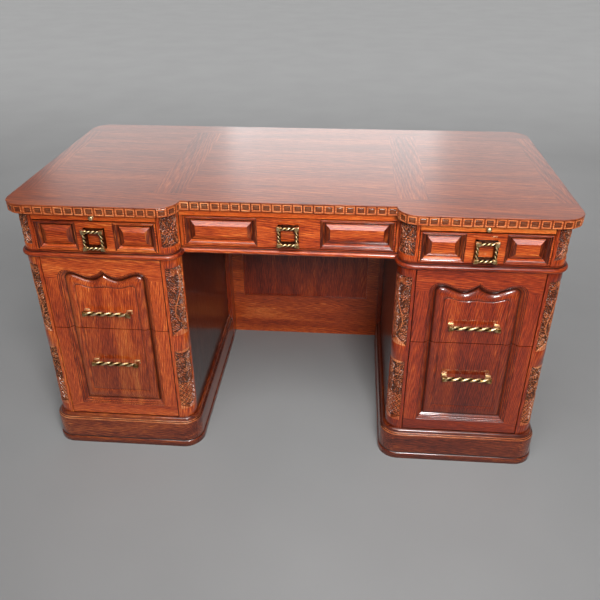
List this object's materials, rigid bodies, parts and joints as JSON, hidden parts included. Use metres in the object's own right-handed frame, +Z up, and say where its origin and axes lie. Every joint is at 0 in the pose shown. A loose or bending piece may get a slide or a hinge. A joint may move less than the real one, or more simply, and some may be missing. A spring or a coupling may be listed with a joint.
{
  "type": "pedestal desk",
  "caption": "Breakfront pedestal writing desk with carved pilasters, drawers on wooden guides, pull-out writing slides, twisted brass pulls and a modesty panel closing the kneehole.",
  "frame": {"origin": "on the floor, under the middle of the desk's box", "axes": "+X to the right of the person who sits at it, +Y to the back of the desk, +Z up"},
  "size_m": [1.46, 0.74, 0.79],
  "materials": {
    "lacquered_wood": "glossy reddish-brown lacquer",
    "top_veneer": "glossy lacquered veneer",
    "plain_wood": "plain sanded",
    "aged_brass": "aged, worn bright on the ridges"
  },
  "bodies": {
    "carcass": {"centre_bottom_rail": "lacquered_wood", "centre_runners": "plain_wood", "centre_stiles": "lacquered_wood", "centre_top_rail": "lacquered_wood", "kneehole_posts": "lacquered_wood", "left_back": "lacquered_wood", "left_corner_blocks": "lacquered_wood", "left_drawer_divider": "plain_wood", "left_drawer_guides": "plain_wood", "left_frieze_floor": "plain_wood", "left_inner_pilaster": "lacquered_wood", "left_inner_side": "lacquered_wood", "left_outer_pilaster": "lacquered_wood", "left_outer_side": "lacquered_wood", "left_pedestal_floor": "plain_wood", "left_plinth": "lacquered_wood", "left_waist_moulding": "lacquered_wood", "modesty_frame": "lacquered_wood", "modesty_panel": "lacquered_wood", "rear_posts": "lacquered_wood", "right_back": "lacquered_wood", "right_corner_blocks": "lacquered_wood", "right_drawer_divider": "plain_wood", "right_drawer_guides": "plain_wood", "right_frieze_floor": "plain_wood", "right_inner_pilaster": "lacquered_wood", "right_inner_side": "lacquered_wood", "right_outer_pilaster": "lacquered_wood", "right_outer_side": "lacquered_wood", "right_pedestal_floor": "plain_wood", "right_plinth": "lacquered_wood", "right_waist_moulding": "lacquered_wood", "top_border": "lacquered_wood", "top_panel": "top_veneer"},
    "centre_drawer": {"centre_drawer_box": "plain_wood", "centre_drawer_front": "lacquered_wood", "centre_drawer_pull": "aged_brass"},
    "left_frieze_drawer": {"left_frieze_drawer_box": "plain_wood", "left_frieze_drawer_front": "lacquered_wood", "left_frieze_drawer_pull": "aged_brass"},
    "left_lower_drawer": {"left_lower_drawer_box": "plain_wood", "left_lower_drawer_front": "lacquered_wood", "left_lower_drawer_pull": "aged_brass"},
    "left_slide": {"left_slide_knob": "aged_brass", "left_writing_slide": "lacquered_wood"},
    "left_upper_drawer": {"left_upper_drawer_box": "plain_wood", "left_upper_drawer_front": "lacquered_wood", "left_upper_drawer_pull": "aged_brass"},
    "right_frieze_drawer": {"right_frieze_drawer_box": "plain_wood", "right_frieze_drawer_front": "lacquered_wood", "right_frieze_drawer_pull": "aged_brass"},
    "right_lower_drawer": {"right_lower_drawer_box": "plain_wood", "right_lower_drawer_front": "lacquered_wood", "right_lower_drawer_pull": "aged_brass"},
    "right_slide": {"right_slide_knob": "aged_brass", "right_writing_slide": "lacquered_wood"},
    "right_upper_drawer": {"right_upper_drawer_box": "plain_wood", "right_upper_drawer_front": "lacquered_wood", "right_upper_drawer_pull": "aged_brass"}
  },
  "joints": [
    {"name": "centre_drawer_slide_joint", "type": "slide", "parent": "carcass", "child": "centre_drawer", "axis": [0, -1, 0], "range_m": [0, 0.36]},
    {"name": "left_frieze_drawer_slide_joint", "type": "slide", "parent": "carcass", "child": "left_frieze_drawer", "axis": [0, -1, 0], "range_m": [0, 0.38]},
    {"name": "left_lower_drawer_slide_joint", "type": "slide", "parent": "carcass", "child": "left_lower_drawer", "axis": [0, -1, 0], "range_m": [0, 0.42]},
    {"name": "left_slide_joint", "type": "slide", "parent": "carcass", "child": "left_slide", "axis": [0, -1, 0], "range_m": [0, 0.3]},
    {"name": "left_upper_drawer_slide_joint", "type": "slide", "parent": "carcass", "child": "left_upper_drawer", "axis": [0, -1, 0], "range_m": [0, 0.42]},
    {"name": "right_frieze_drawer_slide_joint", "type": "slide", "parent": "carcass", "child": "right_frieze_drawer", "axis": [0, -1, 0], "range_m": [0, 0.38]},
    {"name": "right_lower_drawer_slide_joint", "type": "slide", "parent": "carcass", "child": "right_lower_drawer", "axis": [0, -1, 0], "range_m": [0, 0.42]},
    {"name": "right_slide_joint", "type": "slide", "parent": "carcass", "child": "right_slide", "axis": [0, -1, 0], "range_m": [0, 0.3]},
    {"name": "right_upper_drawer_slide_joint", "type": "slide", "parent": "carcass", "child": "right_upper_drawer", "axis": [0, -1, 0], "range_m": [0, 0.42]}
  ]
}
